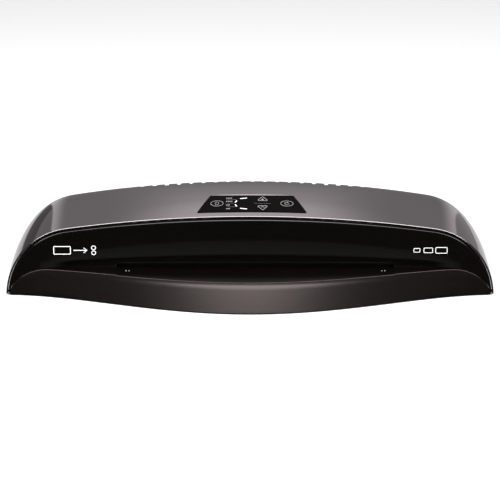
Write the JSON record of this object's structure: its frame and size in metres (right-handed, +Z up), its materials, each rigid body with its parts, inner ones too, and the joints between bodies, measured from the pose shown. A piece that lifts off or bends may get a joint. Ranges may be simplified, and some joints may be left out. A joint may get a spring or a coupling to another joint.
{
  "type": "pouch laminator",
  "caption": "Desktop pouch laminator with an arched cover, a leaning front with a wide pouch slot, a bowed feed shelf and a small inset key panel.",
  "frame": {"origin": "centre of the machine's bounding box, on the surface it stands on", "axes": "+X to the right of a person at the feed slot, -Y towards that person, +Z up"},
  "size_m": [0.5598, 0.15, 0.11],
  "materials": {
    "gunmetal_plastic": "metallic gunmetal gloss",
    "piano_black": "piano gloss",
    "charcoal_plastic": "fine spark-eroded texture",
    "button_black": "satin",
    "lens_white": "frosted light pipe",
    "sheet_steel": "zinc plated sheet",
    "bright_steel": "ground",
    "shoe_aluminium": "extruded",
    "silicone": "ground dark silicone",
    "nylon": "natural",
    "circuit_board": "solder mask",
    "black_rubber": "matte"
  },
  "bodies": {
    "chassis": {"top_cover": "gunmetal_plastic", "front_fascia": "piano_black", "base_shell": "charcoal_plastic", "rear_panel": "charcoal_plastic", "control_panel": "piano_black", "indicator_light_pipe": "lens_white", "control_board": "circuit_board", "power_board": "circuit_board", "side_plate_left": "sheet_steel", "side_plate_right": "sheet_steel", "front_tie_bar": "bright_steel", "rear_tie_bar": "bright_steel", "upper_heat_shoe": "shoe_aluminium", "lower_heat_shoe": "shoe_aluminium", "thermostat": "sheet_steel", "entry_guide_upper": "sheet_steel", "middle_guide_lower": "sheet_steel", "middle_guide_upper": "sheet_steel", "exit_guide_lower": "sheet_steel", "motor_bracket": "sheet_steel", "drive_motor": "sheet_steel", "switch_housing": "button_black", "cord_gland": "black_rubber", "lower_hot_bush_left": "nylon", "hot_spring_left": "bright_steel", "lower_hot_bush_right": "nylon", "hot_spring_right": "bright_steel", "lower_pull_bush_left": "nylon", "pull_spring_left": "bright_steel", "lower_pull_bush_right": "nylon", "pull_spring_right": "bright_steel", "foot_1": "black_rubber", "foot_2": "black_rubber", "foot_3": "black_rubber", "foot_4": "black_rubber"},
    "lower_hot_roller": {"lower_hot_shaft": "bright_steel", "lower_hot_sleeve": "silicone", "lower_hot_gear": "nylon"},
    "upper_hot_carriage": {"upper_hot_block_left": "nylon", "upper_hot_block_right": "nylon"},
    "upper_hot_roller": {"upper_hot_shaft": "bright_steel", "upper_hot_sleeve": "silicone", "upper_hot_gear": "nylon"},
    "lower_pull_roller": {"lower_pull_shaft": "bright_steel", "lower_pull_sleeve": "silicone", "lower_pull_gear": "nylon"},
    "upper_pull_carriage": {"upper_pull_block_left": "nylon", "upper_pull_block_right": "nylon"},
    "upper_pull_roller": {"upper_pull_shaft": "bright_steel", "upper_pull_sleeve": "silicone", "upper_pull_gear": "nylon"},
    "idler": {"idler_gear": "nylon"},
    "pinion": {"motor_pinion": "nylon"},
    "power_key": {"power_button": "button_black"},
    "reverse_key": {"reverse_button": "button_black"},
    "up_key": {"up_button": "button_black"},
    "down_key": {"down_button": "button_black"},
    "mains_rocker": {"switch_rocker": "button_black"}
  },
  "joints": [
    {"name": "lower_hot_spin", "type": "hinge", "parent": "chassis", "child": "lower_hot_roller", "pos_m": [0.006, 0.01, 0.02235], "axis": [1, 0, 0], "continuous": true},
    {"name": "hot_float", "type": "slide", "parent": "chassis", "child": "upper_hot_carriage", "axis": [0, 0, 1], "range_m": [0, 0.001], "stiffness_N_per_m": 4000, "deforming": ["hot_spring_left", "hot_spring_right"]},
    {"name": "upper_hot_spin", "type": "hinge", "parent": "upper_hot_carriage", "child": "upper_hot_roller", "pos_m": [0.006, 0.01, 0.04765], "axis": [1, 0, 0], "continuous": true},
    {"name": "lower_pull_spin", "type": "hinge", "parent": "chassis", "child": "lower_pull_roller", "pos_m": [0.006, 0.044, 0.02485], "axis": [1, 0, 0], "continuous": true},
    {"name": "pull_float", "type": "slide", "parent": "chassis", "child": "upper_pull_carriage", "axis": [0, 0, 1], "range_m": [0, 0.001], "stiffness_N_per_m": 4000, "deforming": ["pull_spring_left", "pull_spring_right"]},
    {"name": "upper_pull_spin", "type": "hinge", "parent": "upper_pull_carriage", "child": "upper_pull_roller", "pos_m": [0.006, 0.044, 0.04515], "axis": [1, 0, 0], "continuous": true},
    {"name": "idler_spin", "type": "hinge", "parent": "chassis", "child": "idler", "pos_m": [0.006, 0.02906, 0.01481], "axis": [1, 0, 0], "continuous": true},
    {"name": "pinion_spin", "type": "hinge", "parent": "chassis", "child": "pinion", "pos_m": [0.006, -0.00451, 0.01256], "axis": [1, 0, 0], "continuous": true},
    {"name": "power_press", "type": "slide", "parent": "chassis", "child": "power_key", "axis": [0, 0.3223, -0.9467], "range_m": [0, 0.0006], "stiffness_N_per_m": 800},
    {"name": "reverse_press", "type": "slide", "parent": "chassis", "child": "reverse_key", "axis": [0, 0.3223, -0.9467], "range_m": [0, 0.0006], "stiffness_N_per_m": 800},
    {"name": "up_press", "type": "slide", "parent": "chassis", "child": "up_key", "axis": [0, 0.3223, -0.9467], "range_m": [0, 0.0006], "stiffness_N_per_m": 800},
    {"name": "down_press", "type": "slide", "parent": "chassis", "child": "down_key", "axis": [0, 0.3223, -0.9467], "range_m": [0, 0.0006], "stiffness_N_per_m": 800},
    {"name": "mains_tilt", "type": "hinge", "parent": "chassis", "child": "mains_rocker", "pos_m": [-0.222, 0.0703, 0.02], "axis": [1, 0, 0], "range_deg": [0, 16]}
  ],
  "couplings": [
    {"joint": "upper_hot_spin", "follows": "lower_hot_spin", "ratio": -1},
    {"joint": "idler_spin", "follows": "lower_hot_spin", "ratio": -1.5625},
    {"joint": "lower_pull_spin", "follows": "lower_hot_spin", "ratio": 1.25},
    {"joint": "upper_pull_spin", "follows": "lower_hot_spin", "ratio": -1.25},
    {"joint": "pinion_spin", "follows": "lower_hot_spin", "ratio": -2.5}
  ]
}
